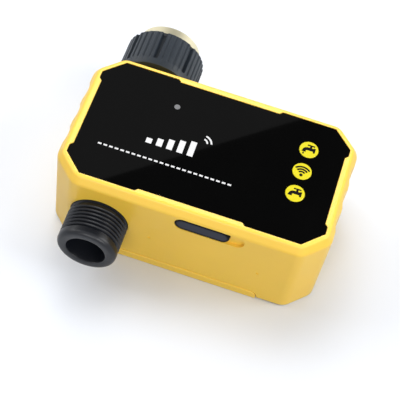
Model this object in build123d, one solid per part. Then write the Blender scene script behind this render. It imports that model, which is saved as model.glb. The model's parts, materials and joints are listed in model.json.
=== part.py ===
"""Smart plant watering system: a motor driven tap timer that lies on its back.

The water runs along Y through the left end of the case, from the swivel nut at the back to the
threaded outlet at the front. The panel with the three buttons faces up. The origin is the middle
of the flat base, +X points to the buttons, +Y to the inlet and +Z up through the panel.
All sizes are in millimetres.
"""
from build123d import *
import math
import os

# Case
case_length = 121.4
case_width = 69.8
corner_cut = 10.5
corner_round = 7.0
bevel_drop = 3.8
bevel_run = 2.35
bevel_round = 3.0
rim_round = 1.6
draft = 0.3
wall = 3.2
base_round = 1.2
deck_thickness = 2.0
deck_room = 1.8
mark_radius = 0.65
mark_places = [(-14.0, 21.45), (34.9, 20.85)]

# Grip flutes on the two short ends
flute_count = 3
flute_pitch = 12.6
flute_width = 10.4
flute_depth = 1.1

# Front panel, an octagon whose middle stretches step inwards
panel_margin_x = 4.0
panel_margin_y = 3.8
panel_cut = 8.45
panel_step = 1.3
panel_step_along = 48.0
panel_step_across = 38.0
panel_thickness = 1.5
panel_drop = 0.15
tape_thickness = 0.3
tape_width = 4.0
tape_inset = 1.5
panel_gap = 0.12
panel_chamfer = 0.15

# Clearances
fit_gap = 0.2
running_gap = 0.05
seat_gap = 0.3
overrun = 1.0

# Water way, along Y
flow_z = 23.7
outlet_reach = 17.3
outlet_radius = 13.2
shank_radius = 12.9
outlet_bore = 8.8
outlet_chamfer = 0.9
neck_radius = 11.5
socket_radius = 11.0
neck_hole_gap = 0.3
seal_width = 2.0
seal_thickness = 2.0
seal_collar_wall = 1.8
groove_inset = 2.0
ring_section = 1.0
ring_slack = 0.05

# Swivel nut with its brass insert
nut_gap = 5.1
nut_length = 19.3
nut_radius = 18.4
nut_base_radius = 18.1
nut_base_width = 3.8
nut_base_round = 0.5
nut_lip = 3.0
nut_lobes = 8
nut_ribs_per_lobe = 3
nut_turn = -4.1
nut_groove_depth = 1.7
nut_groove_width = 2.2
nut_rib_depth = 0.9
nut_rib_gap = 1.1
nut_end_chamfer = 0.5
flange_radius = 13.3
flange_width = 2.5
flange_gap = 0.1
insert_radius = 14.4
insert_bore = 12.06
insert_inset = 6.0
insert_reach = 6.9
insert_chamfer = 0.6
washer_thickness = 2.5
washer_radius = 12.4
filter_thickness = 1.0
filter_frame = 1.6

# Ball valve
valve_radius = 13.5
valve_length = 40.0
valve_flange_thickness = 3.0
valve_flange_sink = 2.7
valve_arm_width = 7.0
ball_radius = 10.0
ball_bore = 6.5
seat_start = 10.4
seat_end = 5.2
stem_radius = 3.0
stem_collar_radius = 4.5
stem_collar_height = 1.0
tang_width = 2.6
tang_length = 8.0
tang_depth = 2.6
bonnet_radius = 6.0
stem_square = 4.2
stem_ring_pitch = 1.5
thrust_washer = 0.4
valve_post_radius = 3.0
valve_post_gap = 0.85
valve_post_turns = (134.5, 36.3)

# Drive
plate_thickness = 1.5
gear_module = 0.8
gear_teeth = 36
pinion_teeth = 12
pressure_angle = 20.0
gear_backlash = 0.12
gear_clearance = 0.2
gear_thickness = 2.8
gear_hub_radius = 5.6
gear_rim_radius = 12.0
gear_recess = 0.7
gear_window_radius = 2.4
gear_window_ring = 9.4
gear_window_count = 6
tab_reach = 2.2
tab_length = 3.4
tab_width = 3.6
tab_height = 1.6
end_switch_size = (3.4, 5.0, 3.2)
valve_travel = 90.0
gearbox_size = (10.0, 12.0, 9.0)
gearbox_plates = 3
gearbox_plate = 1.0
gearbox_inset = 1.2
gearbox_bore = 3.0
gear_screw_sizes = (1.2, 2.8, 1.1)
gear_screw_length = 3.4
shaft_proud = 0.4
motor_length = 15.0
motor_width = 12.0
motor_cap = 1.6
motor_cap_radius = 4.0
motor_boss_radius = 3.0
shaft_radius = 1.5
motor_screw_spread = 4.5

# Buttons and status light, seen on the panel
button_inset = 21.1
button_middle_y = 4.2
button_pitch = 11.9
button_radius = 4.2
button_proud = 0.15
button_hole_gap = 0.25
button_flange_radius = 5.6
button_flange_height = 1.2
button_post_radius = 1.5
button_round = 0.3
light_from_post = (1.25, 5.23)
light_radius = 1.3
light_flange_radius = 2.1
light_flange_height = 1.4

# Boards
board_thickness = 1.6
board_drop = 10.1
board_gap = 7.65
board_margin = 7.4
board_side_gap = 9.9
board_round = 2.0
arm_margins = (1.5, 3.5)
board_post_radius = 2.6
board_post_inset = 3.0
small_post_radius = 2.2
switch_size = (6.0, 6.0, 3.5)
plunger_rise = 1.3
plunger_sunk = 1.3
plunger_well = 2.5
radio_size = (24.0, 16.0, 0.8)
radio_can = (16.0, 13.0, 2.2)
radio_inset = 1.5
radio_y = 11.0
corner_soft = 0.6
plug_housing = (5.8, 7.6, 5.6)
connector_inset = 7.0
status_light_size = (3.2, 2.8, 1.9)
main_chip = (7.0, 7.0, 1.2)
drive_chip = (5.0, 6.2, 1.6)
capacitor_radius = 3.1
capacitor_height = 5.8
capacitor_offsets = (19.6, 11.6)
capacitor_gap = 0.5
chip_margin = 17.0
chip_pitch = 11.0
header_size = (7.6, 2.5)
header_inset = 2.0

# Charging port on the front wall
port_x = 7.55
port_drop = 8.24
plug_length = 24.0
plug_height = 7.4
plug_thickness = 2.0
plug_tongue = (8.2, 4.2, 2.2)
port_gap = 0.12
pry_length = 6.6
pry_depth = 1.6
socket_size = (8.94, 7.35, 3.26)
socket_wall = 0.3
socket_sink = 0.4
plug_round = 0.5
charge_board_size = (26.0, 11.5, 1.0)
charge_post_spread = 20.8
charge_screw_length = 4.0

# Battery pack
cell_radius = 9.2
cell_gap = 0.4
cell_inset = 7.0
pack_gap = 0.8
cradle_floor = 1.4
cradle_wall = 1.5
strap_thickness = 0.3
strap_width = 6.0
cradle_ear = (5.0, 9.0, 2.0)
cradle_boss_height = 4.0
cradle_screw_length = 5.0
wire_radius = 0.6
wire_spread = 1.6
wire_bend = 1.5

# Base cover
cover_thickness = 3.0
lip_inset = 23.7
lip_height = 4.4
lip_proud = 0.35
lip_depth = 1.9
lip_round = 3.0
lip_soft = 0.3
lip_gap = 0.35
gasket_height = 1.4
gasket_width = 1.4
ledge_height = 1.6
ledge_width = 1.8
cover_post_radius = 2.7
cover_post_height = 10.5
cover_web = 3.2
corner_post_inset = (9.7, 11.9)
side_post_inset = (2.0, 7.2)

# Fasteners: shank radius, head radius, head height
case_screw = (1.5, 2.4, 1.7)
valve_screw = (1.5, 2.7, 1.8)
board_screw = (1.1, 2.0, 1.3)
small_screw = (0.8, 1.5, 0.9)
screw_bite = 8.0
pilot_gap = 0.02

# Levels, from the water way up through the drive to the panel
valve_flange_z = flow_z + valve_radius - valve_flange_sink
plate_z = valve_flange_z + valve_flange_thickness
plate_top = plate_z + plate_thickness
gear_z = plate_top + thrust_washer + running_gap
deck_z = gear_z + gear_thickness + deck_room
recess_z = deck_z + deck_thickness
panel_bottom = recess_z + tape_thickness
panel_top = panel_bottom + panel_thickness
case_height = panel_top + panel_drop
bevel_z = case_height - bevel_drop
valve_top = flow_z + socket_radius
board_z = deck_z - board_drop
board_top = board_z + board_thickness
port_z = case_height - port_drop

# Outlines and places
panel_length = case_length - 2 * panel_margin_x
panel_width = case_width - 2 * panel_margin_y
inner_length = case_length - 2 * (draft + wall + flute_depth)
inner_width = case_width - 2 * (draft + wall)
diagonal_share = 2 - math.sqrt(2)
inner_cut = corner_cut - diagonal_share * (draft + wall)
lip_half = case_length / 2 - lip_inset
outlet_end = case_width / 2 + outlet_reach
nut_start = case_width / 2 + nut_gap
nut_end = nut_start + nut_length
flange_start = nut_start + nut_lip + flange_gap
washer_start = flange_start + flange_width
insert_start = nut_start + insert_inset
insert_end = nut_end + insert_reach
gear_radius = gear_module * gear_teeth / 2
gear_tip = gear_radius + gear_module
tab_radius = gear_tip + tab_reach
post_reaches = [edge + valve_post_radius + valve_post_gap for edge in (tab_radius, gear_tip)]
post_offsets = [
    (reach * math.cos(math.radians(turn)), reach * math.sin(math.radians(turn)))
    for reach, turn in zip(post_reaches, valve_post_turns)
]
flow_x = valve_arm_width / 2 + valve_post_gap - inner_length / 2 - post_offsets[0][0]
valve_posts = [(flow_x + x, side * y) for x, y in post_offsets for side in (1, -1)]
pinion_x = flow_x + gear_radius + gear_module * pinion_teeth / 2
button_x = case_length / 2 - button_inset
button_places = {
    "open": button_middle_y + button_pitch,
    "pair": button_middle_y,
    "close": button_middle_y - button_pitch,
}
light_x = flow_x + post_offsets[1][0] + light_from_post[0]
light_y = post_offsets[1][1] + light_from_post[1]
board_left = pinion_x + board_gap
board_right = button_x + board_margin
board_side = case_width / 2 - board_side_gap
connector_x = board_left + connector_inset
chip_line_y = chip_margin - board_side
cell_left = board_left + cell_inset
cradle_right = inner_length / 2 - ledge_width - pack_gap - cradle_ear[0]
cell_length = cradle_right - cradle_wall - fit_gap - strap_thickness - cell_left
cell_height = cover_thickness + cradle_floor + cell_radius
cell_spread = 2 * cell_radius + cell_gap
connector_y = cell_spread / 2
cradle_top = cell_height + cell_radius / 3
wire_z = cell_height + cell_radius + 2 * wire_radius
corner_post_x = case_length / 2 - corner_post_inset[0]
corner_post_y = case_width / 2 - corner_post_inset[1]
side_post_x = board_left + side_post_inset[0]
side_post_y = case_width / 2 - side_post_inset[1]
cover_posts = [(side_post_x, side * side_post_y) for side in (1, -1)]
cover_posts += [(end * corner_post_x, side * corner_post_y) for end in (1, -1) for side in (1, -1)]
board_posts = [
    (board_left + board_post_inset + 1, board_side - board_post_inset),
    (board_left + board_post_inset + 1, -board_side + board_post_inset + board_gap - 2),
    (button_x - board_post_inset - 6, board_side - board_post_inset),
    (board_right - board_post_inset, board_post_inset - board_side),
]
cradle_left = cell_left - strap_thickness - fit_gap - cradle_wall
cradle_ears = [(cradle_right + cradle_ear[0] / 2, 0), (cradle_left - cradle_ear[0] / 2, 0)]


def cylinder(radius, low, high, x=0.0, y=0.0):
    """An upright cylinder between two heights."""
    return Pos(x, y, (low + high) / 2) * Cylinder(radius, high - low)


def pipe(radius, near, far, x=flow_x, z=flow_z):
    """A cylinder along Y between two distances from the middle."""
    return Pos(x, (near + far) / 2, z) * Rot(90, 0, 0) * Cylinder(radius, abs(far - near))


def block(x, y, z):
    """A box between three pairs of limits."""
    size = [high - low for low, high in (x, y, z)]
    middle = [(high + low) / 2 for low, high in (x, y, z)]
    return Pos(*middle) * Box(*size)


def centred(size, x, y, low):
    """A box of a given size that stands on a height."""
    return Pos(x, y, low + size[2] / 2) * Box(*size)


def cut_corner(length, width, cut, rounding):
    """A rectangle with its corners cut at 45 degrees and every corner rounded."""
    outline = chamfer(Rectangle(length, width).vertices(), cut)
    return fillet(outline.vertices(), rounding)


def case_outline(inset=0.0):
    """The outline of the case, moved inwards by an inset."""
    cut = corner_cut - diagonal_share * inset
    return cut_corner(case_length - 2 * inset, case_width - 2 * inset, cut, corner_round - inset)


def inner_outline(inset=0.0):
    """The outline of the case's cavity, moved inwards by an inset."""
    cut = inner_cut - diagonal_share * inset
    rounding = corner_round - draft - wall - inset
    return cut_corner(inner_length - 2 * inset, inner_width - 2 * inset, cut, rounding)


def panel_outline(grow=0.0):
    """The panel's octagon with its stepped middle stretches."""
    outline = chamfer(Rectangle(panel_length, panel_width).vertices(), panel_cut)
    for along, across, turn in (
        (panel_step_along, panel_width, 0),
        (panel_step_across, panel_length, 90),
    ):
        step = Trapezoid(along + panel_step * 2, panel_step * 2, 45)
        for side in (0, 180):
            outline -= Rot(0, 0, turn + side) * Pos(0, -across / 2) * step
    return offset(outline, grow, kind=Kind.INTERSECTION) if grow else outline


def ring(outer, inner, low, high, x=0.0, y=0.0):
    """An upright ring."""
    return cylinder(outer, low, high, x, y) - cylinder(inner, low, high, x, y)


def pipe_ring(outer, inner, near, far):
    """A ring round the water way."""
    return pipe(outer, near, far) - pipe(inner, near, far)


def screw(kind, length, place):
    """A plain screw whose head sits under its place, with the shank going up."""
    shank, head, height = kind
    return place * (cylinder(shank, 0, length) + cylinder(head, -height, 0))


def tooth(teeth):
    """One involute tooth that points along X, down to inside the root circle."""
    pitch = gear_module * teeth / 2
    base = pitch * math.cos(math.radians(pressure_angle))
    root = root_radius(teeth)
    tip = pitch + gear_module
    thick = math.pi / 2 / teeth - gear_backlash / 2 / pitch

    def flank(radius):
        turn = math.acos(min(1.0, base / radius))
        at_pitch = math.radians(pressure_angle)
        half = thick + (math.tan(at_pitch) - at_pitch) - (math.tan(turn) - turn)
        return radius * math.cos(half), radius * math.sin(half)

    low = flank(max(base, root))
    mid = flank(pitch)
    top = flank(tip)
    foot = (root - gear_module, low[1])
    edges = Line(foot, low) + ThreePointArc(low, mid, top)
    edges += ThreePointArc(top, (tip, 0), (top[0], -top[1]))
    edges += ThreePointArc((top[0], -top[1]), (mid[0], -mid[1]), (low[0], -low[1]))
    edges += Line((low[0], -low[1]), (foot[0], -foot[1])) + Line((foot[0], -foot[1]), foot)
    return make_face(edges)


def gear_face(teeth, first_angle=0.0):
    """The full toothed outline of a gear."""
    pitch = 360 / teeth
    one = tooth(teeth)
    return Circle(root_radius(teeth)) + [Rot(0, 0, first_angle + pitch * i) * one for i in range(teeth)]


def root_radius(teeth):
    """The radius at the foot of the teeth."""
    return gear_module * (teeth / 2 - 1) - gear_clearance


def pill(length, height, near, far, x=port_x, z=port_z):
    """A slot shape in the front wall, between two distances along Y."""
    face = Pos(x, near, z) * Rot(90, 0, 0) * SlotOverall(length, height)
    return extrude(face, near - far)


def lip_bar(side, inside, step, outside, grow, step_z):
    """The lip of the base cover on one long side: thick below, thin above its step."""
    half = lip_half + grow
    outline = Rectangle(2 * half, lip_height + grow, align=(Align.CENTER, Align.MIN))
    outline = fillet(outline.vertices().group_by(Axis.Y)[-1], lip_round + grow)
    bar = extrude(Pos(0, side * inside, 0) * Rot(90, 0, 0) * outline, side * (inside - outside))
    above = (step_z, lip_height + grow + overrun)
    return bar - block((-half, half), sorted((side * (inside - overrun), side * step)), above)


def make_upper_case():
    """The yellow shell, open below, with everything that the inner pieces are screwed to."""
    widest = Pos(0, 0, bevel_z) * case_outline()
    outer = loft([case_outline(draft), widest], ruled=True)
    outer += loft([widest, Pos(0, 0, case_height) * case_outline(bevel_run)], ruled=True)
    outer = fillet(outer.edges().group_by(Axis.Z)[0], base_round)
    bevel_edges = outer.edges().filter_by(lambda edge: abs(edge.center().Z - bevel_z) < 0.01)
    outer = fillet(bevel_edges.filter_by(lambda edge: abs(edge.tangent_at(0.5).Z) < 0.01), bevel_round)
    outer = fillet(outer.edges().group_by(Axis.Z)[-1], rim_round)
    # Flutes across both short ends, through the bevel
    flute_radius = (flute_width**2 / 4 + flute_depth**2) / (2 * flute_depth)
    flute_x = case_length / 2 - flute_depth + flute_radius
    for i in range(flute_count):
        y = (i - (flute_count - 1) / 2) * flute_pitch
        for side in (1, -1):
            outer -= cylinder(flute_radius, -overrun, case_height + overrun, side * flute_x, y)
    shell = outer - extrude(inner_outline(), deck_z)
    # Ledge over the gasket
    ledge_z = cover_thickness + gasket_height
    ledge = inner_outline() - inner_outline(ledge_width)
    shell += Pos(0, 0, ledge_z) * extrude(ledge, ledge_height)
    # Fixing posts, which stop at what they carry
    inside = extrude(inner_outline(), deck_z)
    for x, y in cover_posts:
        top = cover_thickness + cover_post_height
        post = cylinder(cover_post_radius, cover_thickness, top, x, y)
        out_x = math.copysign(1, x) if abs(x) > inner_length / 4 else 0
        web = Pos(cover_post_radius, 0) * Box(2 * cover_post_radius, cover_web, top - ledge_z)
        turn = math.degrees(math.atan2(math.copysign(1, y), out_x))
        post += Pos(x, y, (ledge_z + top) / 2) * Rot(0, 0, turn) * web
        shell += post & inside
    for x, y in valve_posts:
        shell += cylinder(valve_post_radius, plate_top, deck_z, x, y)
    for x, y in board_posts:
        shell += cylinder(board_post_radius, board_top, deck_z, x, y)
    for x, y in charge_post_places():
        shell += cylinder(small_post_radius, charge_z() + charge_board_size[2], deck_z, x, y)
    # Collars that hold the neck seals
    seat = inner_width / 2
    for sign, radius in ((-1, shank_radius), (1, neck_radius)):
        seal = radius + seal_width
        inner = seat - seal_thickness
        collar = pipe(seal + seal_collar_wall, sign * seat, sign * inner)
        shell += collar & Pos(0, 0, ledge_z) * inside
        shell -= pipe(seal, sign * seat, sign * (inner - overrun))
        far = sign * (case_width / 2 + overrun)
        shell -= pipe(radius + neck_hole_gap, sign * (inner - corner_cut), far)
    # Panel recess and what shows through it
    shell -= Pos(0, 0, recess_z) * extrude(panel_outline(panel_gap), case_height)
    for y in button_places.values():
        shell -= cylinder(button_radius + button_hole_gap, deck_z - overrun, case_height, button_x, y)
    shell -= cylinder(light_radius + running_gap, deck_z - overrun, case_height, light_x, light_y)
    # Charging port pocket, its pry notch and the mouth of the socket
    face = -case_width / 2 - overrun
    pocket_y = -case_width / 2 + plug_thickness + fit_gap
    shell -= pill(plug_length + 2 * port_gap, plug_height + 2 * port_gap, face, pocket_y)
    notch_length = plug_length + pry_length
    notch_y = -case_width / 2 + pry_depth
    shell -= pill(notch_length, plug_height, face, notch_y, port_x + pry_length / 2)
    mouth = [size + 2 * fit_gap for size in (socket_size[0], socket_size[2])]
    shell -= pill(*mouth, face, -inner_width / 2 + overrun)
    # Room for the lip of the base cover, on both long sides
    for side in (1, -1):
        through = inner_width / 2 - running_gap
        step = case_width / 2 - draft - lip_depth
        shell -= lip_bar(side, through, step, case_width / 2 + overrun, lip_gap, cover_thickness + fit_gap)
    # Two small moulding marks on the front
    for x, z in mark_places:
        face_y = draft * (1 - z / bevel_z) - case_width / 2
        shell -= pipe(mark_radius, face_y - overrun, face_y + mark_radius / 2, x, z)
    # Pilot holes
    for places, kind, low in (
        (cover_posts, case_screw, cover_thickness),
        (valve_posts, valve_screw, plate_top),
        (board_posts, board_screw, board_top),
        (charge_post_places(), small_screw, charge_z()),
    ):
        for x, y in places:
            high = min(low + screw_bite, deck_z + deck_thickness / 2)
            shell -= cylinder(kind[0] + pilot_gap, low - overrun, high, x, y)
    return shell


def make_back_cover():
    """The flat base with its two lips, screw wells and battery bosses."""
    cover = extrude(inner_outline(fit_gap), cover_thickness)
    for side in (1, -1):
        inside = inner_width / 2 - fit_gap - overrun
        step = case_width / 2 - draft - lip_depth + fit_gap
        lip = lip_bar(side, inside, step, case_width / 2 - draft + lip_proud, 0, cover_thickness)
        cover += fillet(lip.edges().group_by(Axis.Y)[-1 if side > 0 else 0], lip_soft)
    for x, y in cover_posts:
        cover -= cylinder(case_screw[1] + fit_gap, -overrun, case_screw[2], x, y)
        cover -= cylinder(case_screw[0] + fit_gap, -overrun, cover_thickness + overrun, x, y)
    boss = cover_thickness + cradle_boss_height
    for x, y in cradle_ears:
        cover += cylinder(cradle_ear[0] / 2 - running_gap, cover_thickness, boss, x, y)
        cover -= cylinder(board_screw[0] + pilot_gap, cover_thickness - overrun, boss + overrun, x, y)
    return cover


def make_cover_gasket():
    """A flat cord of rubber between the cover and the ledge in the case."""
    face = inner_outline(fit_gap) - inner_outline(fit_gap + gasket_width)
    gasket = Pos(0, 0, cover_thickness) * extrude(face, gasket_height)
    for x, y in cover_posts:
        gasket -= cylinder(cover_post_radius + running_gap, 0, deck_z, x, y)
    return gasket


def make_cover_screws():
    """Six screws that come up through the base."""
    length = cover_thickness - case_screw[2] + screw_bite
    return [screw(case_screw, length, Pos(x, y, case_screw[2])) for x, y in cover_posts]


def make_front_panel():
    """The black glossy plate."""
    panel = Pos(0, 0, panel_bottom) * extrude(panel_outline(), panel_thickness)
    for y in button_places.values():
        panel -= cylinder(button_radius + button_hole_gap, recess_z, case_height, button_x, y)
    panel -= cylinder(light_radius + running_gap, recess_z, case_height, light_x, light_y)
    return chamfer(panel.edges().group_by(Axis.Z)[-1].filter_by(GeomType.LINE), panel_chamfer)


def make_panel_tape():
    """The frame of adhesive tape under the panel."""
    rims = []
    for inset in (tape_inset, tape_inset + tape_width):
        size = [side - 2 * inset for side in (panel_length, panel_width)]
        rims.append(cut_corner(*size, panel_cut, tape_inset))
    return Pos(0, 0, recess_z) * extrude(rims[0] - rims[1], tape_thickness)


def make_light_pipe():
    """The clear rod that brings the status light to the panel."""
    bottom = board_top + status_light_size[2] + seat_gap
    rod = cylinder(light_radius, bottom, panel_top, light_x, light_y)
    flange_low = deck_z - light_flange_height
    return rod + cylinder(light_flange_radius, flange_low, deck_z, light_x, light_y)


def make_status_light():
    """The light emitting part on the board's arm."""
    return centred(status_light_size, light_x, light_y, board_top)


def make_main_board():
    """The circuit board, with an arm that carries the status light."""
    middle = (board_left + board_right) / 2
    face = Pos(middle, 0) * Rectangle(board_right - board_left, 2 * board_side)
    face = fillet(face.vertices(), board_round)
    arm_left = light_x - status_light_size[0] / 2
    arm_length = board_left + board_round - arm_left
    front, back = arm_margins
    arm = Rectangle(arm_length, front + back)
    face += Pos(arm_left + arm_length / 2, light_y + (back - front) / 2) * arm
    board = Pos(0, 0, board_z) * extrude(face, board_thickness)
    for x, y in board_posts:
        board -= cylinder(board_screw[0] + fit_gap, board_z - overrun, board_top + overrun, x, y)
    return board


def make_radio_module():
    """The radio board with its shielding can."""
    radio_x = board_left + radio_size[0] / 2 + radio_inset
    module = centred(radio_size, radio_x, radio_y, board_top)
    can_x = radio_x + (radio_size[0] - radio_can[0]) / 2 - corner_soft
    can = centred(radio_can, can_x, radio_y, board_top + radio_size[2])
    return module + fillet(can.edges().filter_by(Axis.Z), corner_soft)


def make_button_switches():
    """Three tact switches under the buttons."""
    switches = []
    for y in button_places.values():
        body = centred(switch_size, button_x, y, board_top)
        well = board_top + switch_size[2] - plunger_well
        body -= cylinder(button_post_radius + running_gap, well, deck_z, button_x, y)
        switches.append(body)
    return switches


def make_board_components():
    """The two chips and two capacitors on top of the board."""
    chip = centred(main_chip, connector_x + chip_pitch, chip_line_y, board_top)
    driver = centred(drive_chip, connector_x, chip_line_y, board_top)
    top = board_top + capacitor_height
    y = charge_y() + charge_board_size[1] / 2 + capacitor_radius + capacitor_gap
    places = [button_x - offset for offset in capacitor_offsets]
    return [chip, driver] + [cylinder(capacitor_radius, board_top, top, x, y) for x in places]


def make_lead_connectors():
    """Two plug housings under the board, one for the motor and one for the battery."""
    low = board_z - plug_housing[2]
    return [centred(plug_housing, connector_x, side * connector_y, low) for side in (1, -1)]


def make_board_screws():
    """Four screws that hold the board to its posts."""
    length = board_thickness + screw_bite / 2
    return [screw(board_screw, length, Pos(x, y, board_z)) for x, y in board_posts]


def charge_z():
    """The underside of the charging board, which carries the socket at the port's height."""
    return port_z - socket_size[2] / 2 - charge_board_size[2]


def charge_y():
    """The middle of the charging board."""
    return -inner_width / 2 + fit_gap + charge_board_size[1] / 2


def charge_post_places():
    """The two posts of the charging board."""
    y = charge_y() + charge_board_size[1] / 2 - board_post_radius
    return [(port_x + side * charge_post_spread / 2, y) for side in (-1, 1)]


def make_charge_board():
    """The small board behind the charging port."""
    board = centred(charge_board_size, port_x, charge_y(), charge_z())
    for x, y in charge_post_places():
        board -= cylinder(small_screw[0] + fit_gap, charge_z() - overrun, deck_z, x, y)
    return board


def make_charge_socket():
    """The metal shell of the charging socket."""
    width, depth, height = socket_size
    near = -inner_width / 2 - socket_sink
    far = near + depth
    inside = [size - 2 * socket_wall for size in (width, height)]
    return pill(width, height, near, far) - pill(*inside, near - overrun, far - socket_wall)


def make_board_header():
    """The pin header between the charging board and the main board."""
    y = charge_y() + charge_board_size[1] / 2 - header_inset
    return centred((*header_size, charge_z() - board_top), port_x, y, board_top)


def make_charge_screws():
    """Two screws that hold the charging board."""
    places = charge_post_places()
    return [screw(small_screw, charge_screw_length, Pos(x, y, charge_z())) for x, y in places]


def make_valve_body():
    """The moulded valve body with its mounting flange and bonnet."""
    half = valve_length / 2
    body = pipe(valve_radius, -half, half)
    face = Pos(flow_x, 0) * Circle(valve_radius - overrun)
    for x, y in valve_posts:
        reach = math.hypot(x - flow_x, y)
        arm = SlotCenterToCenter(reach, valve_arm_width)
        turn = math.degrees(math.atan2(y, x - flow_x))
        face += Pos(flow_x, 0) * Rot(0, 0, turn) * Pos(reach / 2, 0) * arm
    body += Pos(0, 0, valve_flange_z) * extrude(face, valve_flange_thickness)
    body += cylinder(bonnet_radius, plate_z - overrun, plate_top - running_gap, flow_x)
    body -= pipe(socket_radius + running_gap, -half - overrun, half + overrun)
    body -= cylinder(stem_radius + running_gap, flow_z, case_height, flow_x)
    collar_top = valve_top + stem_collar_height
    body -= cylinder(stem_collar_radius + running_gap, flow_z, collar_top + running_gap, flow_x)
    for x, y in valve_posts:
        body -= cylinder(valve_screw[0] + fit_gap, valve_flange_z - overrun, plate_top, x, y)
    room = [size + 2 * neck_hole_gap for size in gearbox_size[:2]]
    return body - centred((*room, case_height), pinion_x, 0, flow_z)


def make_outlet_nipple():
    """The outlet: a threaded spigot outside, a plain neck in the valve inside."""
    half = valve_length / 2
    nipple = pipe(outlet_radius, -outlet_end, -case_width / 2)
    nipple += pipe(shank_radius, -case_width / 2, -half) + pipe(socket_radius, -half, -seat_start)
    nipple -= pipe(outlet_bore, -outlet_end - overrun, -seat_start + overrun)
    rim = nipple.edges().filter_by(GeomType.CIRCLE).group_by(Axis.Y)[0].sort_by(SortBy.RADIUS)
    return chamfer(rim[-1], outlet_chamfer) - neck_groove(groove_inset - half)


def neck_groove(y):
    """The groove for a sealing ring round a neck in the valve."""
    half = ring_section / 2 + ring_slack
    return pipe_ring(socket_radius + overrun, socket_radius - ring_section, y - half, y + half)


def make_inlet_tailpiece():
    """The inlet neck with the flange that the swivel nut pulls on."""
    half = valve_length / 2
    piece = pipe(socket_radius, seat_start, half) + pipe(neck_radius, half, flange_start)
    piece += pipe(flange_radius, flange_start, washer_start)
    piece -= pipe(outlet_bore, seat_start - overrun, washer_start + overrun)
    return piece - neck_groove(half - groove_inset)


def make_neck_rings():
    """The sealing rings of both necks in the valve."""
    place = valve_length / 2 - groove_inset
    inner, half = socket_radius - ring_section, ring_section / 2
    return [pipe_ring(socket_radius, inner, y - half, y + half) for y in (-place, place)]


def make_wall_seals():
    """The rubber rings that seal both necks against the case."""
    seat = inner_width / 2
    seals = []
    for sign, radius in ((-1, shank_radius), (1, neck_radius)):
        near, far = sign * seat, sign * (seat - seal_thickness)
        seals.append(pipe_ring(radius + seal_width, radius, near, far))
    return seals


def make_ball_seats():
    """The two slippery rings that the ball turns against."""
    ball = Pos(flow_x, 0, flow_z) * Sphere(ball_radius + running_gap)
    seats = []
    for sign in (-1, 1):
        ring_solid = pipe_ring(socket_radius, ball_bore, sign * seat_start, sign * seat_end)
        seats.append(ring_solid - ball)
    return seats


def make_valve_ball():
    """The ball, shut at rest, with its water way across the flow and a slot for the stem."""
    ball = Sphere(ball_radius) - Rot(0, 90, 0) * Cylinder(ball_bore, 3 * ball_radius)
    slot = [size + 2 * running_gap for size in (tang_length, tang_width)]
    ball -= centred((*slot, 2 * tang_depth), 0, 0, ball_radius - tang_depth)
    return Pos(flow_x, 0, flow_z) * ball


def make_ball_stem():
    """The stem from the ball to the gear."""
    tang_z = flow_z + ball_radius - tang_depth + running_gap
    collar_low = flow_z + ball_radius
    stem = centred((tang_length, tang_width, collar_low - tang_z), flow_x, 0, tang_z)
    stem += cylinder(stem_collar_radius, collar_low, valve_top + stem_collar_height, flow_x)
    stem += cylinder(stem_radius, collar_low, gear_z - running_gap, flow_x)
    square_z = gear_z - overrun
    stem += centred((stem_square, stem_square, gear_thickness + overrun), flow_x, 0, square_z)
    half = ring_section / 2 + ring_slack
    for z in stem_ring_heights():
        stem -= ring(stem_radius + overrun, stem_radius - ring_section, z - half, z + half, flow_x)
    return stem - cylinder(gear_screw_sizes[0], square_z, case_height, flow_x)


def stem_ring_heights():
    """The heights of the two sealing rings on the stem."""
    low = valve_top + stem_collar_height + ring_section
    return [low, low + stem_ring_pitch]


def make_stem_rings():
    """The two sealing rings on the stem."""
    inner, half = stem_radius - ring_section, ring_section / 2
    return [ring(stem_radius, inner, z - half, z + half, flow_x) for z in stem_ring_heights()]


def make_thrust_washer():
    """The plain washer between the bonnet and the gear."""
    low, high = plate_top - running_gap, gear_z - running_gap
    return ring(bonnet_radius, stem_radius + running_gap, low, high, flow_x)


def make_valve_gear():
    """The big gear, with lightening windows and the tab that finds the end switches."""
    face = gear_face(gear_teeth) - Rectangle(stem_square, stem_square)
    for i in range(gear_window_count):
        angle = 360 / gear_window_count * (i + 0.5)
        face -= Rot(0, 0, angle) * Pos(gear_window_ring, 0) * Circle(gear_window_radius)
    gear = Pos(flow_x, 0, gear_z) * extrude(face, gear_thickness)
    gear_top = gear_z + gear_thickness
    gear -= ring(gear_rim_radius, gear_hub_radius, gear_top - gear_recess, gear_top, flow_x)
    turn = 90 + valve_travel / 2
    tab = Rectangle(tab_length, tab_width)
    tab = Rot(0, 0, turn) * Pos(tab_radius - tab_length / 2, 0) * tab
    gear += Pos(flow_x, 0, gear_top - tab_height) * extrude(tab, tab_height)
    return gear


def make_gear_screw():
    """The screw that holds the gear on the stem."""
    place = Pos(flow_x, 0, gear_z + gear_thickness) * Rot(180, 0, 0)
    return screw(gear_screw_sizes, gear_screw_length, place)


def make_drive_pinion():
    """The brass pinion on the gearbox shaft, with a gap towards the big gear."""
    half_pitch = 180 / pinion_teeth
    face = gear_face(pinion_teeth, 180 + half_pitch) - Circle(shaft_radius)
    return Pos(pinion_x, 0, gear_z) * extrude(face, gear_thickness)


def make_gearbox_shaft():
    """The output shaft of the gearbox."""
    top = gear_z + gear_thickness + shaft_proud
    return cylinder(shaft_radius, plate_z - gearbox_bore, top, pinion_x)


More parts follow.
